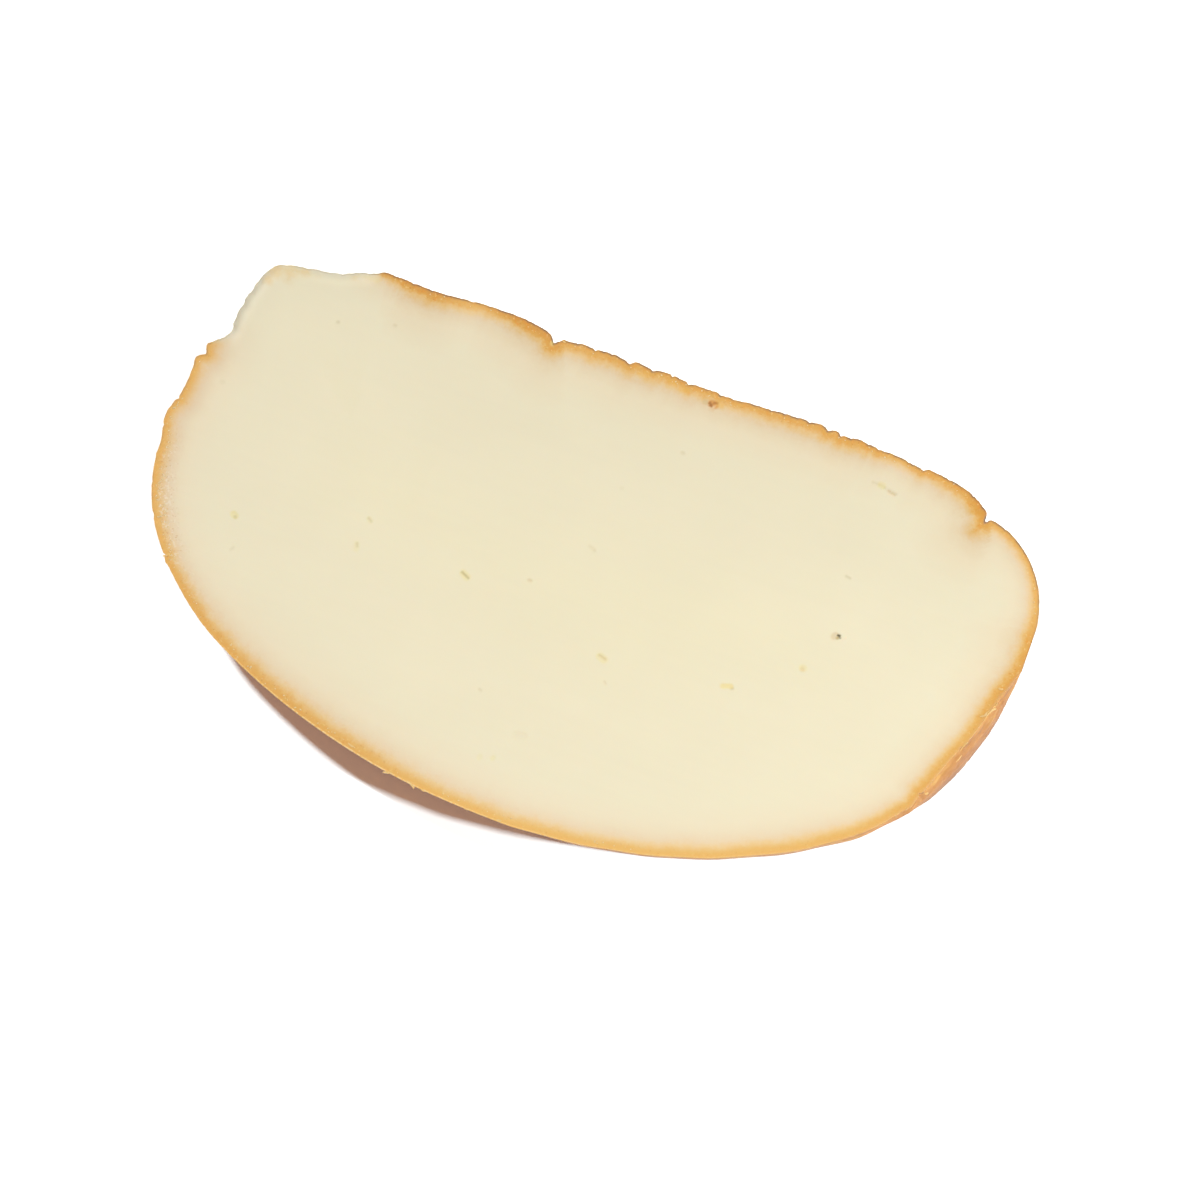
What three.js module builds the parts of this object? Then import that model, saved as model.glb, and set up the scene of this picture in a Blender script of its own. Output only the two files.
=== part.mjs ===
import * as THREE from 'three';

// One slice of a hand-pressed smoked cheese loaf, lying on a cut face. Millimetres.
// X runs along the loaf's flat side, +Y faces that side and +Z is up.
// The rind runs round the edge, with the flat side creased by the pressing cloth,
// and one corner of the slice is torn away.

// Driving dimensions
const sliceLength = 120.2; // between the two round ends
const sliceWidth = 65.8; // from the belly to the flat side
const sliceThickness = 9;
const wallBulge = 0.12; // how far the middle of the rind wall swells
const halfLength = sliceLength / 2;
const crownLine = sliceWidth / 2; // highest line of the flat side
const bellyLine = wallBulge - sliceWidth / 2; // lowest line of the belly

// Spacing of the outline's points
const fineSpacing = 1.15; // where the rind is creased or torn
const roundSpacing = 1.5; // on the smooth belly and flanks
const curveSteps = 24; // finer steps for each given point, before even spacing
const roundSteps = 160;
const directionReach = 3; // stations either side that set the outward direction
const leanReach = 7; // stations either side over which the wall's lean is evened out

// Heights of the rings that make the rind wall, as shares of the thickness
const wallLevels = [0, 0.06, 0.18, 0.33, 0.49, 0.65, 0.8, 0.93, 1];
const leanCurve = 0.9; // below one, the wall leans in more steeply near its top

// Rings of the upper face near its edge: distance from the edge and share of the tear's drop
const faceRings = [
  { inset: 0.9, drop: 0.3 },
  { inset: 2.2, drop: 0.06 },
  { inset: 4, drop: 0 },
];

// The rings of the faces shrink towards this line along the middle of the slice
const spineHalfLength = 27;

// Torn corner
const tearDrop = 0.8; // how far the upper face sinks at the torn edge
const tearReach = 4; // length over which the tear fades in at its two ends
const tearRoughness = 0.38;
const tearSwell = 0.75; // half turns of swell from the top of the torn wall to its foot
const tearWaves = [
  { share: 0.5, along: 0.9, down: 0.7, start: 0 },
  { share: 0.3, along: 2.1, down: -1.3, start: 1 },
  { share: 0.4, along: 0.5, down: 2.4, start: 2 },
];

// Folds pressed into the flat side: place on the outline, depth and half width
const folds = [
  { at: [49.1, crownLine - 4.6], depth: 0.45, halfWidth: 0.85, slant: 0.06 },
  { at: [-14, crownLine - 1.3], depth: 0.45, halfWidth: 0.8, slant: -0.1 },
];
const foldDeepening = 0.35; // how much deeper a fold is halfway down the wall
const foldSharpness = 1.5;

// Dips that the cloth's wrinkles left along the flat side: place along X and depth
const clothDips = [
  [-12, 0.2], [-8.3, 0.12], [-3.9, 0.3], [-0.4, 0.26], [5, 0.3], [9.8, 0.18], [11.7, 0.3],
  [20.4, 0.1], [22.3, 0.16], [24.9, 0.14], [27.4, 0.28], [32.6, 0.14], [37.4, 0.22], [39, 0.32],
];
const dipHalfWidth = 0.75;
const dipSlant = 0.16; // greatest sideways drift for each millimetre down the wall
const dipTurn = 1.7; // turn from one dip's slant to the next one's
const clothReach = 5; // the wrinkles are found this far below the crown line

// Flap of rind on the right flank, where the upper edge lies further in than the wall
const flap = { middle: [57.3, -1.4], halfLength: 11.8, depth: 1.15, flare: 0.85 };
const flapCurve = 1.5; // above one, the drawing in gathers near the top
const flapSteepness = 3; // above one, the flap ends more abruptly

const cheeseColor = 0xefe6c7;
const cheeseRoughness = 0.55;

// A stretch of the outline through a few points, as one smooth curve
function smoothStretch(points) {
  const curve = new THREE.CatmullRomCurve3(
    points.map(([x, y]) => new THREE.Vector3(x, y, 0)),
    false,
    'centripetal',
  );
  const steps = curve.getPoints(points.length * curveSteps);
  return steps.map((point) => new THREE.Vector2(point.x, point.y));
}

// A round stretch: part of a superellipse, turning anticlockwise between two angles
function roundStretch({ centre, radii, power, from, to }) {
  const points = [];
  for (let step = 0; step <= roundSteps; step += 1) {
    const angle = THREE.MathUtils.degToRad(from + ((to - from) * step) / roundSteps);
    const across = Math.sign(Math.cos(angle)) * Math.abs(Math.cos(angle)) ** (2 / power);
    const up = Math.sign(Math.sin(angle)) * Math.abs(Math.sin(angle)) ** (2 / power);
    points.push(new THREE.Vector2(centre[0] + radii[0] * across, centre[1] + radii[1] * up));
  }
  return points;
}

// A place on the flat side: how far right of the middle, and how far below the crown line
function onCrown(x, drop) {
  return [x, crownLine - drop];
}

// A place round the torn corner: how far in from the left end, and how far below the crown line
function nearCorner(inward, drop) {
  return [inward - halfLength, crownLine - drop];
}

// The turn at which the lower right part of a superellipse passes a place along X
function angleOfPlace(x, { centre, radii, power }) {
  const share = (x - centre[0]) / radii[0];
  return 360 - THREE.MathUtils.radToDeg(Math.acos(share ** (power / 2)));
}

// The outline's stretches, anticlockwise from the deep fold at the right shoulder.
// lean is how far the wall's foot stands in from its top, at the stretch's start and end.
function outlineStretches() {
  const [rightFold, middleFold] = folds.map((fold) => fold.at);
  const rindTip = nearCorner(20.8, 0.35);
  const raggedTip = nearCorner(1.8, 17.9);
  const leftEnd = nearCorner(0.68, 32.7);
  const lowestX = 3.6;
  const belly = {
    centre: [lowestX, leftEnd[1]],
    radii: [lowestX - leftEnd[0], leftEnd[1] - bellyLine],
    power: 2.05,
  };
  const flank = { centre: [-20.95, bellyLine + 50.55], radii: [81.16, 51.43], power: 2.61 };
  const shoulder = { centre: [halfLength - 11.6, crownLine - 19], radii: [11.6, 14.35], power: 2 };
  return [
    {
      points: smoothStretch([
        rightFold, onCrown(48.5, 3.8), onCrown(47.2, 2.8), onCrown(44.8, 1.85), onCrown(41, 1.15),
        onCrown(35, 0.75), onCrown(28, 0.35), onCrown(20, 0.35), onCrown(14, 0.75), onCrown(8, 0.85),
        onCrown(0, 0.7), onCrown(-8, 0.65), onCrown(-12.8, 0.85), middleFold,
      ]),
      spacing: fineSpacing,
      lean: [1.2, 1.6],
    },
    {
      points: smoothStretch([
        middleFold, onCrown(-15, 0.85), onCrown(-17, 0.4), onCrown(-20, 0), onCrown(-26, 0.05),
        onCrown(-31, 0.55), onCrown(-36, 0.4), rindTip,
      ]),
      spacing: fineSpacing,
      lean: [1.6, 0.9],
    },
    {
      points: smoothStretch([
        rindTip, nearCorner(19.9, 0.9), nearCorner(18.1, 1.2), nearCorner(16.1, 2.1),
        nearCorner(13.1, 2.8), nearCorner(10.1, 3.2), nearCorner(7.3, 3.7), nearCorner(5.6, 5),
        nearCorner(4.5, 7.8), nearCorner(3.8, 10.9), nearCorner(3.6, 13.9), nearCorner(3.9, 15.8),
        nearCorner(2.7, 17), raggedTip,
      ]),
      spacing: fineSpacing,
      lean: [0.5, 0.5],
      torn: true,
    },
    {
      points: smoothStretch([
        raggedTip, nearCorner(1.8, 19.3), nearCorner(1.1, 20.3), nearCorner(1, 23.9),
        nearCorner(0.7, 26.3), nearCorner(0.05, 28.3), nearCorner(0, 29.9), leftEnd,
      ]),
      spacing: fineSpacing,
      lean: [0.9, 1.3],
    },
    {
      points: roundStretch({ ...belly, from: 180, to: 270 }),
      spacing: roundSpacing,
      lean: [1.3, 1.5],
    },
    {
      points: roundStretch({ ...flank, from: angleOfPlace(lowestX, flank), to: 357.5 }),
      spacing: roundSpacing,
      lean: [0.75, 0.5],
    },
    {
      points: roundStretch({ ...shoulder, from: 2, to: 86.5 }),
      spacing: fineSpacing,
      lean: [0.5, 1.2],
    },
  ];
}

// Even steps along a stretch, without its last point, which starts the next one
function evenSteps(points, spacing) {
  const lengths = [0];
  for (let i = 1; i < points.length; i += 1) {
    lengths.push(lengths[i - 1] + points[i].distanceTo(points[i - 1]));
  }
  const total = lengths[lengths.length - 1];
  const stepCount = Math.round(total / spacing);
  const steps = [];
  let segment = 1;
  for (let step = 0; step < stepCount; step += 1) {
    const target = (total * step) / stepCount;
    while (lengths[segment] < target) {
      segment += 1;
    }
    const share = (target - lengths[segment - 1]) / (lengths[segment] - lengths[segment - 1]);
    steps.push({ point: points[segment - 1].clone().lerp(points[segment], share), share: step / stepCount });
  }
  return steps;
}

// Every station of the outline, with its outward direction, wall lean and share of the tear
function makeStations() {
  const stations = [];
  for (const { points, spacing, lean, torn = false } of outlineStretches()) {
    for (const { point, share } of evenSteps(points, spacing)) {
      stations.push({ point, lean: THREE.MathUtils.lerp(lean[0], lean[1], share), torn });
    }
  }
  evenLeans(stations);
  addDistances(stations);
  addDirections(stations);
  addTearShares(stations);
  return stations;
}

// Leans, evened out where one stretch of the outline meets the next
function evenLeans(stations) {
  const count = stations.length;
  const given = stations.map((station) => station.lean);
  stations.forEach((station, i) => {
    let sum = 0;
    for (let step = -leanReach; step <= leanReach; step += 1) {
      sum += given[(i + step + count) % count];
    }
    station.lean = sum / (2 * leanReach + 1);
  });
}

function addDistances(stations) {
  let distance = 0;
  stations.forEach((station, i) => {
    if (i > 0) {
      distance += station.point.distanceTo(stations[i - 1].point);
    }
    station.distance = distance;
  });
}

// Outward directions, evened out over a few stations so that walls stay smooth at folds
function addDirections(stations) {
  const count = stations.length;
  stations.forEach((station, i) => {
    const ahead = stations[(i + directionReach) % count].point;
    const behind = stations[(i - directionReach + count) % count].point;
    const along = ahead.clone().sub(behind).normalize();
    station.outward = new THREE.Vector2(along.y, -along.x);
  });
}

function addTearShares(stations) {
  const torn = stations.filter((station) => station.torn);
  const start = torn[0].distance;
  const end = torn[torn.length - 1].distance;
  for (const station of stations) {
    const depth = Math.min(station.distance - start, end - station.distance);
    station.tear = THREE.MathUtils.smoothstep(depth, 0, tearReach);
  }
}

function stationNearest(stations, [x, y]) {
  const place = new THREE.Vector2(x, y);
  return stations.reduce((best, station) => (
    station.point.distanceTo(place) < best.point.distanceTo(place) ? station : best
  ));
}

// How far a fold cuts in: a narrow valley whose line drifts sideways down the wall
function foldDepth(distanceAway, { depth, halfWidth, slant }, down) {
  const away = Math.abs(distanceAway - slant * down) / halfWidth;
  const deepening = 1 + foldDeepening * Math.sin((down / sliceThickness) * Math.PI);
  return depth * deepening * Math.exp(-(away ** foldSharpness));
}

function makeDips() {
  return clothDips.map(([x, depth], i) => ({
    x,
    depth,
    halfWidth: dipHalfWidth,
    slant: dipSlant * Math.sin(i * dipTurn),
  }));
}

// Rough surface of the tear, as a few crossed waves
function tearRelief(distance, down) {
  const heights = tearWaves.map((wave) => (
    wave.share * Math.sin(distance * wave.along + down * wave.down + wave.start)
  ));
  return tearRoughness * heights.reduce((sum, height) => sum + height, 0);
}

// Distance that the rind stands out from the outline at one level of the wall
function wallOffset(station, level, surface) {
  const down = sliceThickness * (1 - level);
  const flapShare = flapShareAt(station, surface.flapDistance);
  let offset = (flap.flare * flapShare - station.lean) * (1 - level) ** leanCurve;
  offset += wallBulge * Math.sin(level * Math.PI);
  for (const fold of surface.folds) {
    offset -= foldDepth(station.distance - fold.distance, fold, down);
  }
  if (station.point.y > crownLine - clothReach && station.tear === 0) {
    for (const dip of surface.dips) {
      offset -= foldDepth(station.point.x - dip.x, dip, down);
    }
  }
  const swell = Math.sin((1 - level) * Math.PI * tearSwell);
  offset += station.tear * tearRelief(station.distance, down) * swell;
  offset -= flap.depth * flapShare * level ** flapCurve;
  return offset;
}

// The upper edge draws in along the flap of rind, and steps back at its two ragged ends
function flapShareAt(station, flapDistance) {
  const share = Math.abs(station.distance - flapDistance) / flap.halfLength;
  return share < 1 ? 1 - share ** flapSteepness : 0;
}

function wallRing(stations, level, surface) {
  return stations.map((station) => {
    const spot = station.point.clone().addScaledVector(station.outward, wallOffset(station, level, surface));
    const height = sliceThickness * level - tearDrop * station.tear * level ** 2;
    return new THREE.Vector3(spot.x, spot.y, height);
  });
}

// A ring of the upper face, moved in from the edge towards the slice's middle line
function faceRing(rim, stations, { inset, drop }) {
  return rim.map((edge, i) => {
    const middle = new THREE.Vector3(
      THREE.MathUtils.clamp(edge.x, -spineHalfLength, spineHalfLength), 0, edge.z,
    );
    const spot = edge.clone().addScaledVector(middle.sub(edge).normalize(), inset);
    spot.z = sliceThickness - tearDrop * drop * stations[i].tear;
    return spot;
  });
}

// Two triangles for each quadrilateral between two rings, split across the shorter diagonal
function joinRings(lower, upper, lowerStart, upperStart, triangles) {
  const count = lower.length;
  for (let i = 0; i < count; i += 1) {
    const next = (i + 1) % count;
    const [a, b, c, d] = [lowerStart + i, lowerStart + next, upperStart + next, upperStart + i];
    if (lower[i].distanceTo(upper[next]) < lower[next].distanceTo(upper[i])) {
      triangles.push(a, b, c, a, c, d);
    } else {
      triangles.push(a, b, d, b, c, d);
    }
  }
}

function fillRing(ring, start, facesUp, triangles) {
  const contour = ring.map((spot) => new THREE.Vector2(spot.x, spot.y));
  for (const [a, b, c] of THREE.ShapeUtils.triangulateShape(contour, [])) {
    if (facesUp) {
      triangles.push(start + a, start + b, start + c);
    } else {
      triangles.push(start + a, start + c, start + b);
    }
  }
}

function sliceRings() {
  const stations = makeStations();
  const surface = {
    folds: folds.map((fold) => ({ ...fold, distance: stationNearest(stations, fold.at).distance })),
    dips: makeDips(),
    flapDistance: stationNearest(stations, flap.middle).distance,
  };
  const wall = wallLevels.map((level) => wallRing(stations, level, surface));
  const rim = wall[wall.length - 1];
  return [...wall, ...faceRings.map((ring) => faceRing(rim, stations, ring))];
}

// The slice's outline box is brought to the driving length and width, centred on the origin
function fitToSize(geometry) {
  geometry.computeBoundingBox();
  const size = geometry.boundingBox.getSize(new THREE.Vector3());
  geometry.scale(sliceLength / size.x, sliceWidth / size.y, sliceThickness / size.z);
  geometry.computeBoundingBox();
  const centre = geometry.boundingBox.getCenter(new THREE.Vector3());
  geometry.translate(-centre.x, -centre.y, -geometry.boundingBox.min.z);
}

function sliceGeometry() {
  const rings = sliceRings();
  const count = rings[0].length;
  const triangles = [];
  for (let level = 1; level < rings.length; level += 1) {
    joinRings(rings[level - 1], rings[level], (level - 1) * count, level * count, triangles);
  }
  fillRing(rings[0], 0, false, triangles);
  fillRing(rings[rings.length - 1], (rings.length - 1) * count, true, triangles);
  const geometry = new THREE.BufferGeometry();
  const positions = rings.flat().flatMap((spot) => [spot.x, spot.y, spot.z]);
  geometry.setAttribute('position', new THREE.Float32BufferAttribute(positions, 3));
  geometry.setIndex(triangles);
  fitToSize(geometry);
  geometry.computeVertexNormals();
  return geometry;
}

function cheeseMaterial() {
  return new THREE.MeshStandardMaterial({ color: cheeseColor, roughness: cheeseRoughness, metalness: 0 });
}

function cheeseSlice() {
  const slice = new THREE.Mesh(sliceGeometry(), cheeseMaterial());
  slice.name = 'cheese_slice';
  return slice;
}

const part = new THREE.Group();
part.add(cheeseSlice());

export default part;
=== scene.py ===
import bpy
import math
import random
import numpy as np
from mathutils import Matrix, Vector, noise


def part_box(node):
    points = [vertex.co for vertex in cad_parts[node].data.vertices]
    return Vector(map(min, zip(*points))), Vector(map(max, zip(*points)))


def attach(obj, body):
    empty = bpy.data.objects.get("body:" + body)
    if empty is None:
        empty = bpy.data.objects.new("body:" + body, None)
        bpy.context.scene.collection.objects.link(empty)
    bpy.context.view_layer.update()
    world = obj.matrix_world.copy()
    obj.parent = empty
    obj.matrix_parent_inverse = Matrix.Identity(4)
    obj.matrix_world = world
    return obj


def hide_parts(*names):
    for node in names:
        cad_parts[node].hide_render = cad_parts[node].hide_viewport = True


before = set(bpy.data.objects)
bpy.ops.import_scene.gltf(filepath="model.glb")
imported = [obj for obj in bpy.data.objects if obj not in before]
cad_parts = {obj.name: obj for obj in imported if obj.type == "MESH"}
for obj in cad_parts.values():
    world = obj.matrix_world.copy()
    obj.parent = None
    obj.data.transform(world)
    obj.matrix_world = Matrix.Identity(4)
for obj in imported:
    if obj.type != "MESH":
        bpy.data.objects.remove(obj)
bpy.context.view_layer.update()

# A slice of smoked cheese lying on a cut face. Lengths in the settings are in millimetres.
mm = 0.001
low, high = (np.array(corner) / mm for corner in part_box("cheese_slice"))
thickness = high[2] - low[2]
print("frame loaded, slice", (high - low).round(1))


def leaveEditMode():
    bpy.ops.object.mode_set(mode="OBJECT")


def makeActive(piece):
    bpy.ops.object.select_all(action="DESELECT")
    piece.select_set(True)
    bpy.context.view_layer.objects.active = piece


# One property of all the vertices, edges, faces or corners
def readAll(parts, name, width=1, kind=float):
    values = np.empty(len(parts) * width, kind)
    parts.foreach_get(name, values)
    return values.reshape(-1, width) if width > 1 else values


def placesOf(piece):
    return readAll(piece.data.vertices, "co", 3) / mm


def setPlaces(piece, places):
    piece.data.vertices.foreach_set("co", (places * mm).ravel())
    piece.data.update()


# 1 where a face looks straight up, -1 where it looks straight down
def upwardOf(piece):
    return readAll(piece.data.polygons, "normal", 3)[:, 2]


def edgeEnds(piece):
    return readAll(piece.data.edges, "vertices", 2, int)


def openEdges(piece):
    edgeOfCorner = readAll(piece.data.loops, "edge_index", kind=int)
    return np.bincount(edgeOfCorner, minlength=len(piece.data.edges)) == 1


# The open edges of the upper or of the lower rim
def rimEdges(piece, upper):
    raised = placesOf(piece)[edgeEnds(piece), 2] > thickness / 2
    return openEdges(piece) & (raised == upper).all(1)


# Leaves the piece in edit mode with only the chosen parts selected
def selectParts(piece, kind, chosen):
    makeActive(piece)
    bpy.ops.object.mode_set(mode="EDIT")
    bpy.ops.mesh.select_mode(type=kind)
    bpy.ops.mesh.select_all(action="DESELECT")
    leaveEditMode()
    parts = {"VERT": piece.data.vertices, "EDGE": piece.data.edges, "FACE": piece.data.polygons}[kind]
    parts.foreach_set("select", np.asarray(chosen, bool))
    bpy.ops.object.mode_set(mode="EDIT")


def turnNormalsOut(piece):
    selectParts(piece, "FACE", np.ones(len(piece.data.polygons), bool))
    bpy.ops.mesh.normals_make_consistent(inside=False)
    leaveEditMode()


def smoothstep(values, start, end):
    share = np.clip((values - start) / (end - start), 0, 1)
    return share * share * (3 - 2 * share)


# Smooth noise from -1 to 1 at each place. The grain is one size, or one each along X, Y and Z
def noiseAt(places, grain, seed):
    shift = Vector((seed * 7.31, seed * 3.17, seed * 5.73))
    scaled = places / np.asarray(grain, float)
    return np.array([noise.fractal(Vector(place) + shift, 0.6, 2.1, 2) for place in scaled])


# The points of a closed loop of edges in order, anticlockwise seen from above
def orderedLoop(piece, chosenEdges):
    neighbours = {}
    for first, second in edgeEnds(piece)[chosenEdges].tolist():
        neighbours.setdefault(first, []).append(second)
        neighbours.setdefault(second, []).append(first)
    loop, previous = [min(neighbours)], None
    while len(loop) < len(neighbours):
        following = next(point for point in neighbours[loop[-1]] if point != previous)
        previous = loop[-1]
        loop.append(following)
    x, y = placesOf(piece)[loop, :2].T
    turning = np.sum(x * np.roll(y, -1) - y * np.roll(x, -1))
    return np.array(loop if turning > 0 else loop[::-1])


# Evens out a closed run of places over a distance in steps
def smoothRound(places, steps):
    if steps < 0.3:
        return places
    reach = int(3 * steps) + 1
    weights = np.exp(-0.5 * (np.arange(-reach, reach + 1) / steps) ** 2)
    weights /= weights.sum()
    return sum(weight * np.roll(places, shift, axis=0)
               for weight, shift in zip(weights, range(-reach, reach + 1)))


# Distance from each place to the nearest part of a closed loop, and the loop point it belongs to
def distanceTo(loop, places, allowed=None):
    nearest = np.zeros(len(places), int)
    distance = np.zeros(len(places))
    usable = np.ones(len(loop), bool) if allowed is None else allowed & np.roll(allowed, -1)
    starts, spans = loop[usable], (np.roll(loop, -1, axis=0) - loop)[usable]
    numbers = np.flatnonzero(usable)
    lengths = np.maximum((spans ** 2).sum(1), 1e-12)
    for first in range(0, len(places), 2000):
        away = places[first:first + 2000, None, :] - starts[None]
        share = np.clip((away * spans[None]).sum(2) / lengths[None], 0, 1)
        gap = ((away - share[..., None] * spans[None]) ** 2).sum(2)
        best = gap.argmin(1)
        nearest[first:first + 2000] = numbers[best]
        distance[first:first + 2000] = np.sqrt(gap[np.arange(len(best)), best])
    return distance, nearest


# A value known along the rim carried smoothly over the whole face
def blendFromRim(rim, name, places, reach):
    spots = rim["places"][::8, :2]
    values = smoothRound(rim[name], 8)[::8]
    blended = np.empty(len(places))
    for first in range(0, len(places), 4000):
        away = np.linalg.norm(places[first:first + 4000, None, :2] - spots[None], axis=2)
        weights = np.exp(-(away - away.min(1)[:, None]) / reach)
        blended[first:first + 4000] = weights @ values / weights.sum(1)
    return blended


sliceForm = {
    "columnCuts": 2,
    "rimRings": [0.1, 0.25, 0.45, 0.7, 1.0, 1.35, 1.75, 2.25, 2.9, 3.7, 4.6],
    "footRings": [0.4, 1.1, 2.3],
    "spineHalf": 27,
    "faceGrid": 0.7,
    "undersideGrid": 1.8,
    "tornLeftOf": -39.3,
    "tornAbove": 15,
    "tearFade": 0.77,
    "tearRagged": 9,
    "faceLow": 0.1,
    "swell": 0.03,
    "drag": 0.008,
    "notchReach": 2.4,
    "slant": 0.3,
    "cutTurn": ((0.94, -0.342, 0), (0.342, 0.94, 0), (0, 0, 0)),
    "smoothAngle": 42,
    "pitPasses": [(0.7, 2, 0.1), (0.2, 1, 0.02)],
    "sharpTint": 0.1,
    "softTint": 0.24,
}

# Where the wall gets twice as many columns: the rough stretches, then the two folds once more
fineStretches = [
    [((-40, 28), (51, 34)), ((-62, -17), (-52, 16.5)), ((48, -15), (61, 30))],
    [((-15.6, 29), (-12.4, 33)), ((47.6, 26.5), (50.8, 29.5))],
]

# How the rind looks along the edge: place, how brown, how wrinkled, how much of a raised lip with a painted
# highlight, the width of its coloured band, how much of it is granular, how dull it is, how much painted
# shade darkens the cheese inside it and its edge
rindStops = [
    ((3.6, -32.9), 0, 0.05, 0.35, 0.9, 0.34, 0.15, 0),
    ((20, -32), 0.03, 0.08, 0.3, 0.85, 0.25, 0, 0),
    ((38, -27), 0.05, 0.15, 0.2, 0.9, 0.12, 0, 0),
    ((48, -16.5), 0.15, 0.2, 0.15, 0.85, 0, 0, 0),
    ((53, -11), 0.38, 0.3, 0.1, 0.75, 0, 0, 0),
    ((57.3, -1.4), 0.38, 0.4, 0, 0.72, 0, 0, 0),
    ((59.9, 9), 0.7, 0.35, 0, 0.9, 0, 0, 0.1),
    ((60, 14), 0.65, 0.35, 0, 1, 0, 0, 0.2),
    ((60, 18), 0.25, 0.3, 0, 0.66, 0.1, 0.3, 0.5),
    ((57.4, 24), 0.35, 0.4, 0, 0.66, 0.2, 0.5, 0.85),
    ((54, 27), 0.5, 0.5, 0, 0.66, 0.2, 0.4, 1),
    ((51, 28.1), 0.4, 0.5, 0, 0.7, 0.1, 0.3, 1.2),
    ((48.6, 28.7), 1, 0.5, 0, 1.1, 0, 0, 1.35),
    ((46.5, 30), 0.8, 0.6, 0, 1, 0, 0.1, 1.2),
    ((44, 31), 0.6, 0.75, 0, 0.86, 0.1, 0.3, 1.2),
    ((39.5, 31.6), 0.6, 0.8, 0, 0.75, 0.1, 0.5, 1),
    ((36, 32), 0.35, 0.8, 0, 0.6, 0.1, 0.6, 1),
    ((29.5, 32.4), 0.65, 0.9, 0, 0.9, 0.1, 0.2, 1),
    ((22, 32.5), 0.55, 0.9, 0, 0.9, 0.1, 0.4, 1),
    ((10, 32), 0.5, 0.85, 0, 0.85, 0.2, 0.3, 1),
    ((3, 32), 0.55, 0.8, 0, 0.9, 0.2, 0.3, 1),
    ((-5, 32), 0.6, 0.8, 0, 0.9, 0.1, 0.2, 1),
    ((-12, 31.7), 0.4, 0.8, 0, 0.85, 0.1, 0.2, 1),
    ((-14.6, 31.2), 0.8, 0.6, 0, 0.95, 0, 0, 1),
    ((-20, 32.9), 0.95, 0.5, 0, 0.9, 0.07, 0.1, 1),
    ((-26.5, 32.4), 0.15, 0.45, 0, 0.8, 0.12, 0.1, 0.9),
    ((-31, 32.6), 0.85, 0.4, 0, 0.92, 0.1, 0.1, 0.9),
    ((-36, 32.5), 0.85, 0.4, 0, 0.86, 0.08, 0, 0.9),
    ((-38.9, 32.4), 0.7, 0.4, 0, 0.5, 0, 0, 0.8),
    ((-58.3, 14.8), 0.25, 0.35, 0, 0.9, 0.1, 0.8, 0.6),
    ((-59, 9), 0.2, 0.35, 0.1, 0.9, 0.1, 1, 0.55),
    ((-60, 3.5), 0.25, 0.35, 0.1, 0.94, 0.3, 1, 0.5),
    ((-59.2, -1.5), 0.2, 0.3, 0.1, 0.9, 0.8, 1, 0.4),
    ((-57.5, -8), 0.18, 0.25, 0.1, 0.92, 1, 0.9, 0.35),
    ((-53.6, -14), 0.2, 0.2, 0.1, 0.84, 0.9, 0.6, 0.2),
    ((-52.2, -15.8), 0.3, 0.15, 0.1, 0.8, 0.6, 0.4, 0.15),
    ((-45, -22.5), 0.4, 0.1, 0.25, 0.95, 0.3, 0.2, 0),
    ((-25, -30), 0.38, 0.06, 0.9, 1, 0.36, 0.1, 0),
    ((-8, -32.5), 0.05, 0.05, 0.8, 0.92, 0.38, 0.2, 0),
]
looks = ["tone", "wrinkle", "lipAndHighlight", "width", "granular", "dull", "paintedShade"]

# Nicks in the rim and small swellings of it: place, depth (below zero it stands out), half width
nicks = [
    ((-8.27, 32.15), 0.24, 0.32), ((-6.11, 32.19), 0.1, 0.3), ((-3.33, 31.72), 0.26, 0.6),
    ((-2.2, 31.9), -0.1, 0.5), ((0.01, 31.73), 0.2, 0.45), ((2.67, 32.05), 0.2, 0.3),
    ((5.17, 31.67), 0.22, 0.4), ((6.2, 31.9), -0.08, 0.5), ((9.76, 31.66), 0.14, 0.4),
    ((16.84, 32.21), 0.1, 0.35), ((20.66, 32.31), 0.12, 0.4), ((22.29, 32.25), 0.15, 0.3),
    ((23.59, 32.6), -0.13, 0.45), ((24.99, 32.23), 0.2, 0.5), ((26.16, 32.4), -0.12, 0.4),
    ((26.88, 32.18), 0.24, 0.35), ((28.43, 32.1), 0.12, 0.3), ((29.54, 32.35), -0.1, 0.5),
    ((30.73, 32.2), 0.13, 0.35), ((32.38, 32.06), 0.14, 0.4), ((36.75, 31.81), 0.12, 0.4),
    ((38.92, 31.23), 0.2, 0.6), ((39.67, 31.6), -0.12, 0.5), ((42.6, 31.2), 0.08, 0.4),
    ((-12.94, 31.7), -0.12, 0.28), ((-14.06, 31.05), 0.24, 0.4), ((-15.4, 31.9), -0.06, 0.7),
    ((48.7, 28.45), -0.26, 0.75), ((49.16, 27.8), 0.46, 0.32), ((49.85, 28.05), -0.15, 0.5),
    ((-26.4, 32.2), 0.12, 0.9), ((-22.3, 32.6), 0.06, 0.3), ((-18.3, 32.8), 0.07, 0.3),
    ((-57.89, 13.5), 0.34, 0.55), ((-58.9, 12.5), -0.26, 0.6), ((-58.35, 14.8), -0.2, 0.5),
    ((-58.97, 6.4), 0.22, 0.4), ((-59.4, 5.9), -0.12, 0.5), ((-60.05, 3.8), -0.12, 1.1),
    ((-59.67, 2.5), 0.16, 0.4), ((-59.3, -1.5), -0.1, 0.35), ((-58.3, -5.4), 0.09, 0.5),
    ((-56.7, -9.7), 0.1, 0.5), ((-53.3, -14.4), 0.24, 0.3), ((-53, -15.2), -0.18, 0.5),
    ((53.4, -10.7), 0.26, 0.35), ((52.1, -12.2), -0.16, 0.7), ((58.6, 5.6), 0.1, 0.4),
    ((57.9, 2.8), 0.12, 0.35),
]

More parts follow.
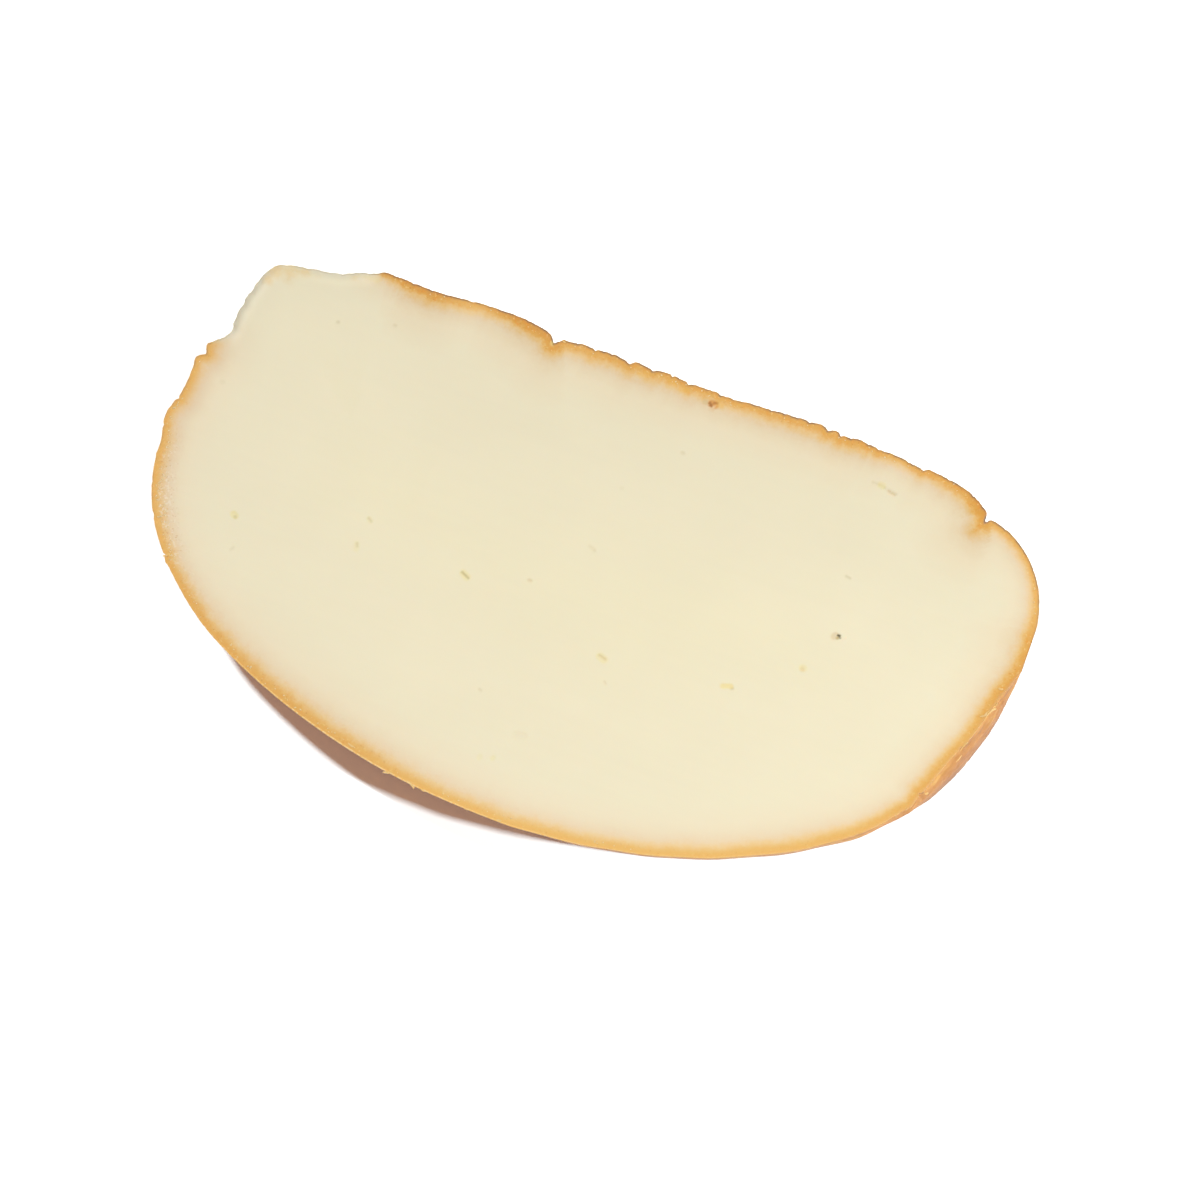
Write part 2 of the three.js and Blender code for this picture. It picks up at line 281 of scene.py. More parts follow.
# Fuller and leaner stretches of the wall: place, how far out lower down and at the rim, half length
bulges = [((58.6, 21), 0.2, 0.2, 4), ((59.8, 14), 0.4, 0.22, 4.5), ((59.7, 8.5), 0.4, 0.1, 4),
          ((58.7, 3.2), 0.24, -0.16, 3.6), ((56, -5), 0.16, -0.36, 4), ((51.6, -12.5), 0.6, 0, 3.2),
          ((46.8, -17.5), 0.7, 0.3, 4.6), ((38.9, -23.3), 0.32, 0.24, 5), ((29, -28.2), 0.28, 0.28, 4.5),
          ((21, -30.8), 0.32, 0.32, 4.5), ((12.5, -32.3), 0.26, 0.26, 4.5), ((-5, 32), 0.1, 0.1, 6),
          ((-17, 32.2), 0.1, 0.1, 3), ((2.4, 32), 0.2, 0.2, 3), ((22.3, 32.5), 0.18, 0.18, 3),
          ((11, 32), 0.14, 0.14, 5), ((-49.3, 29.5), -0.18, -0.18, 4),
          ((-55.5, 24.5), -0.24, -0.24, 5), ((-56.5, 18.8), -0.14, -0.14, 3), ((53.8, -9.2), 0.3, 0, 2.4),
          ((-45.5, -22.5), 0.2, 0.2, 5), ((-14, -31.2), 0.15, 0.15, 9)]

# Random small nicks: first and last place, how many, greatest depth
nickRuns = [((50.5, 28.5), (-38.5, 32.4), 90, 0.1), ((60.1, 14), (51, 28.2), 16, 0.06),
            ((-58.5, 14), (-53, -15), 26, 0.06), ((52, -13.5), (59.9, 9), 30, 0.13),
            ((-52.5, -15.5), (-40, -24), 22, 0.07)]


def copySlice():
    piece = bpy.data.objects.new("cheese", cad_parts["cheese_slice"].data.copy())
    bpy.context.scene.collection.objects.link(piece)
    piece.data.materials.clear()
    makeActive(piece)
    bpy.ops.mesh.customdata_custom_splitnormals_clear()
    bpy.ops.object.mode_set(mode="EDIT")
    bpy.ops.mesh.select_all(action="SELECT")
    bpy.ops.mesh.remove_doubles(threshold=0.001 * mm)
    leaveEditMode()
    return piece


# Keeps the wall alone and gives it close, even faces
def makeWall(piece):
    upward = upwardOf(piece)
    selectParts(piece, "FACE", (upward > 0.5) | (upward < -0.9))
    bpy.ops.mesh.delete(type="FACE")
    bpy.ops.mesh.select_all(action="SELECT")
    bpy.ops.mesh.tris_convert_to_quads(face_threshold=math.pi, shape_threshold=math.pi)
    leaveEditMode()
    for stretches in fineStretches:
        middles = placesOf(piece)[edgeEnds(piece)].mean(1)
        chosen = np.zeros(len(middles), bool)
        for corner, opposite in stretches:
            chosen |= ((middles[:, :2] > corner) & (middles[:, :2] < opposite)).all(1)
        selectParts(piece, "EDGE", chosen & openEdges(piece) & (middles[:, 2] > thickness / 2))
        bpy.ops.mesh.loop_multi_select(ring=True)
        bpy.ops.mesh.subdivide(number_cuts=1)
        leaveEditMode()
    selectParts(piece, "EDGE", openEdges(piece))
    bpy.ops.transform.edge_crease(value=1)
    leaveEditMode()
    print("wall made,", len(piece.data.polygons), "faces")
    modifier = piece.modifiers.new("columns", "SUBSURF")
    modifier.levels = modifier.render_levels = sliceForm["columnCuts"]
    makeActive(piece)
    bpy.ops.object.modifier_apply(modifier=modifier.name)


# The upper edge in order, with what is known at each of its points
def readRim(piece):
    order = orderedLoop(piece, rimEdges(piece, True))
    places = placesOf(piece)[order]
    steps = np.linalg.norm(np.roll(places, -1, 0) - places, axis=1)
    along = np.concatenate([[0], np.cumsum(steps[:-1])])
    length = steps.sum()
    even = smoothRound(places[:, :2], 7)
    ahead = np.roll(even, -2, 0) - np.roll(even, 2, 0)
    outward = np.stack([ahead[:, 1], -ahead[:, 0]], 1)
    outward /= np.linalg.norm(outward, axis=1)[:, None]
    torn = (places[:, 0] < sliceForm["tornLeftOf"]) & (places[:, 1] > sliceForm["tornAbove"])
    stops = sorted((along[rimPoint(places, place)], *values) for place, *values in rindStops)
    stopAlong, *columns = np.array(stops).T
    rim = dict(order=order, places=places, along=along, length=length, outward=outward, torn=torn)
    for name, values in zip(looks, columns):
        rim[name] = smoothRound(np.interp(along, stopAlong, values, period=length), 4)
    rim["nick"] = nickDepth(rim)
    rim["lowBulge"], rim["rimBulge"] = np.zeros((2, len(along)))
    for place, lowOut, rimOut, half in bulges:
        share = np.exp(-(alongFrom(rim, along[rimPoint(places, place)]) / half) ** 2)
        rim["lowBulge"] += lowOut * share
        rim["rimBulge"] += rimOut * share
    return rim


def rimPoint(places, place):
    return int(np.argmin(((places[:, :2] - place) ** 2).sum(1)))


# Distance of each rim point from one place, measured along the rim
def alongFrom(rim, where):
    half = rim["length"] / 2
    return np.abs((rim["along"] - where + half) % rim["length"] - half)


# How far the rim is pressed in at each of its points
def nickDepth(rim):
    random.seed(5)
    along, length = rim["along"], rim["length"]
    marks = [(along[rimPoint(rim["places"], place)], depth, half) for place, depth, half in nicks]
    for first, last, count, greatest in nickRuns:
        start, end = (along[rimPoint(rim["places"], place)] for place in (first, last))
        span = (end - start) % length
        for number in range(count):
            where = start + span * random.random()
            amount = greatest * (random.random() ** 1.5 - 0.25)
            marks.append((where % length, amount, random.uniform(0.2, 0.5)))
    depth = np.zeros(len(along))
    for where, amount, half in marks:
        away = alongFrom(rim, where)
        if amount > 0:
            depth += amount * np.clip(1 - away / half, 0, 1)
        else:
            depth += amount * np.exp(-(away / half) ** 2)
    return depth


# How far each wall place belongs to the torn corner, with a ragged border
def tornShare(rim, nearest, places):
    border = smoothRound(rim["torn"].astype(float), 2)
    shift = sliceForm["tearRagged"] * noiseAt(places, (1.5, 1.5, 1.1), seed=6)
    return border[(nearest + shift.astype(int)) % len(border)]


# Wrinkles of the rind: the grain of the noise they follow, its seed, how narrow, how deep
wrinkles = {
    "broad": ((3.2, 3.2, 8), 1, 0.08, 0.22),
    "fine": ((1.1, 1.1, 3.4), 2, 0.12, 0.06),
    "cross": ((9, 9, 2.6), 7, 0.07, 0.14),
}


# The noise that a wrinkle follows and its depth at each place
def wrinkleAt(places, name):
    grain, seed, narrow, deep = wrinkles[name]
    field = noiseAt(places, grain, seed)
    return field, deep * np.exp(-(field / narrow) ** 2)


# Creases and grain pressed into the rind, and the roughness of the torn corner
def shapeWall(piece, rim):
    places = placesOf(piece)
    nearest = distanceTo(rim["places"][:, :2], places[:, :2])[1]
    down = np.maximum(rim["places"][nearest, 2] - places[:, 2], 0)
    wrinkle = rim["wrinkle"][nearest]
    torn = tornShare(rim, nearest, places)
    torn[rim["order"]] = smoothRound(rim["torn"].astype(float), 2)
    slanted = places + down[:, None] * (sliceForm["slant"], 0, 0)
    broadDepth = wrinkleAt(slanted, "broad")[1]
    fine, fineDepth = wrinkleAt(places, "fine")
    crossDepth = wrinkleAt(places, "cross")[1]
    grain = noiseAt(places, 0.8, seed=3)
    belowRim = smoothstep(down, 0, 0.6)
    creases = broadDepth + fineDepth + crossDepth * belowRim
    rind = wrinkle * (0.06 * fine - creases * (0.35 + 0.65 * belowRim)) + 0.015 * grain - 0.02
    rind -= rim["nick"][nearest] * np.exp(-(down / sliceForm["notchReach"]) ** 1.5)
    tear = (0.14 * noiseAt(places, (1.6, 1.6, 2.4), seed=4) + 0.08 * grain) * (1 + belowRim) - 0.04
    offset = rind * (1 - torn) + tear * torn
    below = smoothstep(down, 0, 3)
    offset += rim["lowBulge"][nearest] * below + rim["rimBulge"][nearest] * (1 - below)
    places[:, :2] += rim["outward"][nearest] * offset[:, None]
    setPlaces(piece, places)


# Rings of faces growing inwards from an open edge towards the middle line of the slice
def growRings(piece, order, insets, tearFade):
    edge = placesOf(piece)[order]
    ring = edge
    for inset in insets:
        selectParts(piece, "EDGE", rimEdges(piece, edge[0, 2] > thickness / 2))
        bpy.ops.mesh.extrude_edges_move()
        leaveEditMode()
        moved = np.flatnonzero(readAll(piece.data.vertices, "select", kind=bool))
        places = placesOf(piece)
        numbers = ((places[moved, None] - ring) ** 2).sum(2).argmin(1)
        even = smoothRound(edge, inset * 2.2)
        inward = -even[:, :2]
        inward[:, 0] += np.clip(even[:, 0], -sliceForm["spineHalf"], sliceForm["spineHalf"])
        inward /= np.linalg.norm(inward, axis=1)[:, None]
        ring = even.copy()
        ring[:, :2] += inward * inset
        if tearFade:
            ring[:, 2] = thickness - (thickness - edge[:, 2]) * math.exp(-(inset / tearFade) ** 1.2)
        places[moved] = ring[numbers]
        setPlaces(piece, places)
    return ring


# Fills what is left inside the last ring with an even grid
def fillMiddle(piece, ring, cell, height):
    size = ring[:, :2].max(0) - ring[:, :2].min(0)
    centre = (ring[:, :2].max(0) + ring[:, :2].min(0)) / 2
    cells = [int(side / cell) for side in size]
    bpy.ops.mesh.primitive_grid_add(x_subdivisions=cells[0], y_subdivisions=cells[1], size=mm)
    grid = bpy.context.object
    bpy.ops.object.mode_set(mode="EDIT")
    bpy.ops.transform.resize(value=(*size, 1))
    bpy.ops.transform.translate(value=(*centre * mm, height * mm))
    leaveEditMode()
    places = placesOf(grid)[:, :2]
    gap, nearest = distanceTo(ring[:, :2], places)
    x, y = (places - ring[nearest, :2]).T
    ahead = (np.roll(ring, -1, 0) - np.roll(ring, 1, 0))[nearest]
    inside = x * ahead[:, 1] < y * ahead[:, 0]
    selectParts(grid, "VERT", ~inside | (gap <= cell * 0.7))
    bpy.ops.mesh.delete(type="VERT")
    leaveEditMode()
    makeActive(piece)
    grid.select_set(True)
    bpy.ops.object.join()
    selectParts(piece, "EDGE", rimEdges(piece, height > thickness / 2))
    bpy.ops.mesh.fill(use_beauty=True)
    leaveEditMode()


# Small slits and spots in the cut face: place, length, width, turn, depth, and how much of each tint; the
# dark tint is painted shade deep in a slit and the pale tint a painted highlight on a lit edge
pits = [
    ((-46.35, -6.1), 1.15, 0.85, -30, 0.03, {"yellow": 0.5}),
    ((-46.15, -6.35), 0.4, 0.3, -30, 0.03, {"olive": 0.35}),
    ((-45, -10.5), 0.7, 0.3, 60, 0.02, {"olive": 0.14}), ((-29, -0.5), 1, 0.7, -35, 0.01, {"yellow": 0.2}),
    ((-29, -0.5), 0.8, 0.2, -35, 0.04, {"olive": 0.3}),
    ((-29.4, -4.5), 1.4, 0.7, -75, 0.01, {"yellow": 0.22}),
    ((-29.4, -4.3), 0.6, 0.22, -65, 0.04, {"olive": 0.3}),
    ((-14.3, -3.2), 1.6, 0.9, -25, 0.01, {"yellow": 0.4}),
    ((-14.3, -3.2), 1.3, 0.15, -25, 0.05, {"olive": 0.7}), ((0.4, 6.1), 1.1, 0.4, -15, 0.02, {"tan": 0.16}),
    ((0.9, 5.85), 0.25, 0.18, 0, 0.02, {"olive": 0.2}),
    ((-5.9, -0.9), 0.6, 0.3, 10, 0.03, {"olive": 0.08, "tan": 0.3}),
    ((6.8, -7.5), 1.6, 1, -15, 0.01, {"yellow": 0.34}),
    ((6.8, -7.4), 1.15, 0.2, -15, 0.05, {"olive": 0.12, "tan": 0.36}),
    ((8.3, -10.5), 0.5, 0.2, -35, 0.04, {"tan": 0.25}), ((23.75, -5.38), 1.7, 0.6, 18, 0.03, {"gold": 0.6}),
    ((24.5, -5.45), 0.4, 0.25, 20, 0.05, {"olive": 0.45}),
    ((32.5, 0.4), 1, 0.85, -10, 0.03, {"gold": 0.35}), ((32.45, 0.2), 0.6, 0.5, -10, 0.03, {"tan": 0.3}),
    # Painted shade: the dark tints of this slit, here and on the next line; its pale tint further down is a
    # painted highlight on its lit edge
    ((35.05, 5.95), 1, 0.8, 60, 0.04, {"tan": 0.42}), ((35.55, 6.2), 0.55, 0.3, 5, 0.16, {"dark": 0.9}),
    ((35.75, 5.98), 0.45, 0.22, -35, 0.12, {"dark": 0.7}),
    ((35.5, 5.85), 0.4, 0.3, 60, 0.08, {"olive": 0.9}),
    ((36.45, 6.15), 0.28, 0.18, 70, -0.05, {"pale": 0.8}),
    ((34.7, 27.35), 3.8, 0.16, -8, 0.03, {"olive": 0.22}),
    ((34.2, 27.5), 1.1, 0.7, -8, 0.02, {"yellow": 0.45}),
    # The pale tint on this line is a painted highlight below the scratch
    ((35.8, 27), 1.2, 0.24, -12, 0.04, {"tan": 0.5}), ((35.7, 26.75), 1.1, 0.25, -12, 0, {"pale": 0.3}),
    ((7.5, 22.6), 0.55, 0.4, 0, 0.02, {"olive": 0.2}), ((1.4, 15.2), 0.5, 0.4, 0, 0.01, {"olive": 0.08}),
    ((34.1, 14.1), 0.8, 0.2, -10, 0.03, {"olive": 0.32}), ((0.1, -21), 2, 0.9, 10, 0.02, {"tan": 0.08}),
    ((-7, -17.1), 0.5, 0.25, -25, 0.03, {"olive": 0.2}),
    ((-2.2, -25.1), 0.7, 0.5, 70, 0.02, {"yellow": 0.3}),
    ((-3.9, -25.6), 0.8, 0.6, 80, 0.02, {"yellow": 0.2}),
    ((-54.5, 10.5), 0.7, 0.5, 20, 0.01, {"olive": 0.1}), ((-35.3, 25.9), 0.5, 0.3, 0, 0.02, {"olive": 0.2}),
    ((-42.74, 23.68), 0.4, 0.35, 0, 0.02, {"olive": 0.3}),
    ((9.1, 30.35), 1.4, 0.95, -10, 0.05, {"hole": 0.8}),
    ((8.75, 30.2), 0.85, 0.45, -40, 0.05, {"bark": 0.62}),
    # The pale tint on this line is a painted highlight in the hole
    ((9.35, 30.6), 0.8, 0.3, 10, 0.04, {"bark": 0.5}), ((9.3, 30.05), 0.45, 0.26, 30, 0, {"pale": 0.6}),
    ((8, 30.3), 0.8, 0.6, 10, 0.02, {"olive": 0.3}), ((10, 30.5), 1, 0.7, -15, 0, {"amber": 0.35}),
    ((-40.4, 31.3), 2.2, 0.9, -4, 0, {"yellow": 0.2}), ((-41.3, 31.2), 3.6, 0.8, -6, 0, {"yellow": 0.22}),
    ((-14.35, 30.8), 0.5, 0.4, -50, 0.04, {"gold": 0.6}),
    ((-1.2, 31), 1.7, 0.6, 12, 0.01, {"amber": 0.3}), ((3, 31.2), 1.3, 0.5, -20, 0.01, {"amber": 0.3}),
    ((4.7, 30.8), 1.5, 0.6, 8, 0.01, {"amber": 0.32}), ((-14.15, 30.75), 0.26, 0.2, 0, 0.05, {"bark": 0.5}),
]

# Deeper colour that runs in from the two folds: start, end, half width, depth at each end
foldTails = [((49.1, 27.8), (47.9, 25.9), 1, 0.2, 1.25), ((-14.2, 31), (-14.9, 29.5), 0.3, 0.5, 1.5)]

# Traces of rind and of smoke on the torn corner: place, radius, how strong
rindTraces = [
    ((-53.8, 26), 0.9, 0.5), ((-53.2, 27.6), 1.5, 0.5), ((-51.4, 28.4), 1.7, 0.45),
    ((-49.6, 28.9), 1.3, 0.4), ((-51.3, 27.2), 1.3, 0.3), ((-47.6, 28.9), 1, 0.2),
    ((-57.4, 15.7), 1, 0.5), ((-56.2, 16.2), 0.9, 0.3), ((-43, 30.6), 1, 0.25),
    ((-40.6, 31.4), 1, 0.15), ((-39.6, 30.7), 0.9, 0.2),
]


# Distance from a pit's edge: below zero inside it, in millimetres
def pitDistance(places, place, length, width, turn):
    angle = math.radians(turn)
    away = places[:, :2] - place
    across = away @ np.array([-math.sin(angle), math.cos(angle)])
    along = away @ np.array([math.cos(angle), math.sin(angle)])
    half = max(length - width, 0) / 2
    return np.hypot(np.maximum(np.abs(along) - half, 0), across) - width / 2


# Finer faces round the pits, where the faces aren't small already
def refinePits(piece):
    for reach, cuts, least in sliceForm["pitPasses"]:
        centres = readAll(piece.data.polygons, "center", 3) / mm
        large = readAll(piece.data.polygons, "area") > least * mm ** 2
        near = np.zeros(len(centres), bool)
        for *shape, depth, tints in pits:
            near |= pitDistance(centres, *shape) < reach
        selectParts(piece, "FACE", near & large & (upwardOf(piece) > 0.5))
        bpy.ops.mesh.subdivide(number_cuts=cuts)
        leaveEditMode()


def shapeFace(piece, wallCount, rim, foot):
    places = placesOf(piece)
    upper = (places[:, 2] > thickness / 2) & (np.arange(len(places)) >= wallCount)
    spots = places[upper]
    inset, nearest = distanceTo(rim["places"][:, :2], spots[:, :2])
    turned = spots @ sliceForm["cutTurn"]
    relief = sliceForm["swell"] * noiseAt(turned, 14, seed=11)
    relief += sliceForm["drag"] * noiseAt(turned, (26, 1.3, 1), seed=12)
    relief -= sliceForm["faceLow"] * (1 - 0.8 * rim["lipAndHighlight"][nearest] * np.exp(-(inset / 0.22) ** 2))
    band = np.exp(-((inset - 0.8) / 0.8) ** 2)
    grain = noiseAt(spots, 0.5, seed=16)
    relief += band * (0.012 + 0.05 * rim["granular"][nearest] + 0.03 * rim["tone"][nearest]) * grain
    torn = smoothRound(rim["torn"].astype(float), 4)[nearest] * np.exp(-(inset / 1.5) ** 2)
    relief += torn * 0.06 * noiseAt(spots, 1.3, seed=13)
    for *shape, depth, tints in pits:
        away = pitDistance(spots, *shape)
        close = away < 0.5
        ragged = away[close] + 0.05 * noiseAt(spots[close], 0.35, seed=14)
        relief[close] -= depth * smoothstep(-ragged, -0.1, min(shape[2] / 2, 0.25))
    spots[:, 2] += relief * (1 - np.exp(-(inset / 0.12) ** 2))
    places[upper] = spots
    lowSide = (places[:, 2] < thickness / 2) & (np.arange(len(places)) >= wallCount)
    spots = places[lowSide]
    inset = distanceTo(foot, spots[:, :2])[0]
    spots[:, 2] += 0.04 * (1 - np.exp(-inset / 2)) * (1 + noiseAt(spots, 9, seed=15))
    places[lowSide] = spots
    setPlaces(piece, np.clip(places, low, high))


# Keeps at each point what the material has to know there
def markRind(piece, wallCount, rim, foot, wallHome):
    places = placesOf(piece)
    count = len(places)
    onWall = np.arange(count) < wallCount
    lowSide = ~onWall & (places[:, 2] < thickness / 2)
    upper = ~onWall & ~lowSide
    flat = rim["places"][:, :2]
    inset, nearest = distanceTo(flat, places[:, :2])
    nearest[onWall] = wallHome
    depth = distanceTo(flat, places[:, :2], ~rim["torn"])[0] / rim["width"][nearest]
    for start, end, half, first, last in foldTails:
        start, end = np.array(start), np.array(end)
        share = np.clip((places[:, :2] - start) @ (end - start) / ((end - start) ** 2).sum(), 0, 1)
        away = np.linalg.norm(places[:, :2] - start - share[:, None] * (end - start), axis=1)
        depth = np.minimum(depth, first + (last - first) * share + np.maximum(away - 0.15, 0) / half)
    depth[lowSide] = distanceTo(foot, places[lowSide, :2])[0] / 0.8
    torn = smoothRound(rim["torn"].astype(float), 14)[nearest]
    torn[:wallCount] = tornShare(rim, wallHome, places[:wallCount])
    down = np.where(onWall, np.maximum(rim["places"][nearest, 2] - places[:, 2], 0), 0)
    depth = np.where(onWall, np.where(torn < 0.5, 0, depth), depth)
    trace = np.zeros(count)
    fade = smoothstep(places[:, 2], thickness - 4, thickness - 0.5)
    for place, radius, strength in rindTraces:
        away = np.linalg.norm(places[:, :2] - place, axis=1)
        trace = np.maximum(trace, strength * np.exp(-(away / radius) ** 2) * fade)
    tints = {name: np.zeros(count) for name in face["tints"]}
    for *shape, pitDepth, shares in pits:
        away = pitDistance(places, *shape)
        for name, share in shares.items():
            edge = sliceForm["sharpTint" if name in ("dark", "bark", "pale") else "softTint"]
            strength = upper * share * (1 - smoothstep(away, -0.12, edge))
            tints[name] = np.maximum(tints[name], strength)
    # Painted shade: the face made darker towards the crown and the left side, fading out inwards
    paintedShade = blendFromRim(rim, "paintedShade", places, 6) * smoothstep(inset, 1, 2.5)
    paintedShade *= 1 - smoothstep(inset, 8, 34)
    # Painted shade: a thin dark line along the rim's edge at the crown, the left and the torn corner, where
    # the wall is in shade
    rimShade = np.minimum(rim["paintedShade"][nearest], 1) * (1 - torn) + 0.35 * torn
    known = {
        "rindDepth": depth,
        "wallDown": down * (1 - torn),
        "tornDown": down * torn,
        "rindTone": rim["tone"][nearest],
        "torn": torn * np.where(onWall, 1, np.exp(-inset / 2.5)),
        "paintedShade": np.where(upper, paintedShade, 0),
        "rimShade": rimShade * (1 - smoothstep(inset, 0.1, 0.3)) * upper,
        "trace": trace,
        **{name: np.where(lowSide, 0, rim[name][nearest]) for name in ("lipAndHighlight", "granular", "dull")},
        **tints,
    }
    for name, values in known.items():
        attribute = piece.data.attributes.new(name, "FLOAT", "POINT")
        attribute.data.foreach_set("value", values.astype(np.float32))


def makeSlice():
    piece = copySlice()
    makeWall(piece)
    rim = readRim(piece)
    wallHome = distanceTo(rim["places"][:, :2], placesOf(piece)[:, :2])[1]
    shapeWall(piece, rim)
    rim["places"] = placesOf(piece)[rim["order"]]
    wallCount = len(piece.data.vertices)
    foot = orderedLoop(piece, rimEdges(piece, False))
    footPlaces = placesOf(piece)[foot, :2]
    print("rim points", len(rim["order"]), "foot points", len(foot))
    ring = growRings(piece, rim["order"], sliceForm["rimRings"], sliceForm["tearFade"])
    fillMiddle(piece, ring, sliceForm["faceGrid"], thickness)
    ring = growRings(piece, foot, sliceForm["footRings"], 0)
    fillMiddle(piece, ring, sliceForm["undersideGrid"], 0)
    turnNormalsOut(piece)
    refinePits(piece)
    shapeFace(piece, wallCount, rim, footPlaces)
    markRind(piece, wallCount, rim, footPlaces, wallHome)
    makeActive(piece)
    bpy.ops.object.shade_smooth_by_angle(angle=math.radians(sliceForm["smoothAngle"]))
    piece.data.calc_loop_triangles()
    print("slice made,", len(piece.data.loop_triangles), "triangles, open edges", openEdges(piece).sum())
    return piece, rim


# Loose shreds of rind left by the knife: place, how far below the cut, length, width, turn
shreds = [
    ((-14.7, -31.75), 0.08, 1.3, 0.2, 12), ((-20.6, -29.95), 0.08, 0.9, 0.22, -18),
    ((-11.3, -32.1), 0.1, 1.5, 0.28, -22), ((-9.4, -32.35), 0.1, 0.8, 0.16, -4),
    ((1.4, -32.62), 0.1, 0.7, 0.2, 4), ((-3.2, -32.75), 0.1, 0.5, 0.16, -8),
    ((58.25, 6.75), 0.08, 0.6, 0.26, 12), ((57.75, 3.2), 0.1, 2.2, 0.26, 52),
    ((58.1, 4.2), 0.3, 1.5, 0.22, 66), ((57.3, 2.6), 0.08, 1.2, 0.2, 34),
    ((56.1, -2.2), 0.12, 1.5, 0.12, 70), ((56.1, -3.9), 0.8, 1.2, 0.1, 66),
    ((53.5, -9.9), 0.1, 0.5, 0.26, 40), ((57, 0.9), 1.2, 0.9, 0.1, 62),
    ((-53.1, -14.5), 0.08, 0.6, 0.22, 25), ((-12.9, 31.6), 0.08, 0.55, 0.2, -14),
]

shredForm = {"cuts": 4, "thick": 0.11, "bend": 0.3, "ragged": 0.06}


# The places turned about the vertical and moved
def turnedTo(places, angle, x, y, z):
    return places @ np.array(Matrix.Rotation(-angle, 3, "Z")) + (x, y, z)


def makeShreds():
    made = []
    for number, (place, below, length, width, turn) in enumerate(shreds):
        bpy.ops.mesh.primitive_cube_add(size=mm)
        shred = bpy.context.object
        bpy.ops.object.mode_set(mode="EDIT")
        bpy.ops.mesh.subdivide(number_cuts=shredForm["cuts"])
        bpy.ops.transform.resize(value=(length, width, shredForm["thick"]))
        leaveEditMode()
        places = placesOf(shred)
        share = places[:, 0] / length
        places[:, 1] *= 1.1 - 1.6 * share ** 2 + 0.5 * share
        places[:, 1] += shredForm["bend"] * length * (share ** 2 - 0.1) * math.sin(number * 2.3)
        ragged = [noiseAt(places + number, 0.5, seed) for seed in (21, 22, 23)]
        places += shredForm["ragged"] * np.stack(ragged, 1) * (1, 1, 0.3)
        places = turnedTo(places, math.radians(turn), *place, thickness - below)
        setPlaces(shred, np.clip(places, low, high - (0, 0, 0.005)))
        made.append(shred)
    return joinPieces(made, "rindShreds")


crumbForm = {"count": 260, "inset": (0.5, 2.2, 1.2), "least": 0.12, "most": 0.28, "long": 1.7,
             "uneven": 0.35, "flat": 0.4, "sunk": 0.05}


# Grains of curd that stand out of the rind band, most of them where it is granular
def makeCrumbs(rim):
    random.seed(8)
    made = []
    edge = rim["places"][:, :2]
    while len(made) < crumbForm["count"]:
        number = random.randrange(len(edge))
        inset = random.triangular(*crumbForm["inset"]) * (0.35 + 0.65 * rim["granular"][number])
        if rim["torn"][number] or random.random() > rim["granular"][number] ** 1.5:
            continue
        place = edge[number] - rim["outward"][number] * inset
        size = random.uniform(crumbForm["least"], crumbForm["most"])
        bpy.ops.mesh.primitive_ico_sphere_add(subdivisions=1, radius=size * mm / 2)
        crumb = bpy.context.object
        places = placesOf(crumb)
        places *= 1 + crumbForm["uneven"] * noiseAt(places + len(made), size, seed=31)[:, None]
        stretch = random.uniform(1, crumbForm["long"])
        places *= (stretch, 1 / stretch, crumbForm["flat"])
        places = turnedTo(places, random.uniform(0, math.pi), *place,
                          thickness - sliceForm["faceLow"] - crumbForm["sunk"] + size * 0.15)
        setPlaces(crumb, np.minimum(places, (1e3, 1e3, thickness - 0.005)))
        made.append(crumb)
    return joinPieces(made, "curdGrains")


def joinPieces(made, name):
    makeActive(made[0])
    for piece in made[1:]:
        piece.select_set(True)
    bpy.ops.object.join()
    joined = bpy.context.object
    joined.name = joined.data.name = name
    turnNormalsOut(joined)
    bpy.ops.object.shade_smooth_by_angle(angle=math.radians(60))
    print(name, "made,", len(joined.data.polygons), "faces")
    return joined


def addNode(tree, kind, inputs=None, **settings):
    made = tree.nodes.new(kind)
    for name, value in settings.items():
        setattr(made, name, value)
    for name, value in (inputs or {}).items():
        if isinstance(value, bpy.types.NodeSocket):
            tree.links.new(value, made.inputs[name])
        else:
            made.inputs[name].default_value = value
    return made


def calculate(tree, operation, *values, clamp=False):
    return addNode(tree, "ShaderNodeMath", dict(enumerate(values)), operation=operation,
                   use_clamp=clamp).outputs[0]


def scaled(tree, value, factor, offset):
    return calculate(tree, "MULTIPLY_ADD", value, factor, offset)


# A share that rises from 0 at start to 1 at end, or falls where start is the greater
def rampBetween(tree, value, start, end, most=1.0):
    return addNode(tree, "ShaderNodeMapRange", {
        "Value": value, "From Min": start, "From Max": end, "To Max": most,
    }, interpolation_type="SMOOTHSTEP").outputs["Result"]


def product(tree, first, *others):
    for other in others:
        first = calculate(tree, "MULTIPLY", first, other)
    return first


def mixColours(tree, factor, first, second, blend="MIX"):
    return addNode(tree, "ShaderNodeMix", {0: factor, 6: first, 7: second}, data_type="RGBA",
                   blend_type=blend).outputs[2]


# A colour as seen in full light, less the part of the light above a plain white
def paint(colour):
    shares = [value / 255 for value in colour]
    linear = [v / 12.92 if v < 0.04045 else ((v + 0.055) / 1.055) ** 2.4 for v in shares]
    return (*[value / light["level"] for value in linear], 1)


# A painted colour laid over another where the share is above zero
def coat(tree, share, under, colour):
    return mixColours(tree, share, under, paint(colour))


# 1 along a stretch of depth, and less towards both its ends
def stretchOf(tree, depth, start, full, fading, end):
    return product(tree, rampBetween(tree, depth, start, full), rampBetween(tree, depth, end, fading))


def readValue(tree, name):
    return addNode(tree, "ShaderNodeAttribute", attribute_name=name).outputs["Fac"]


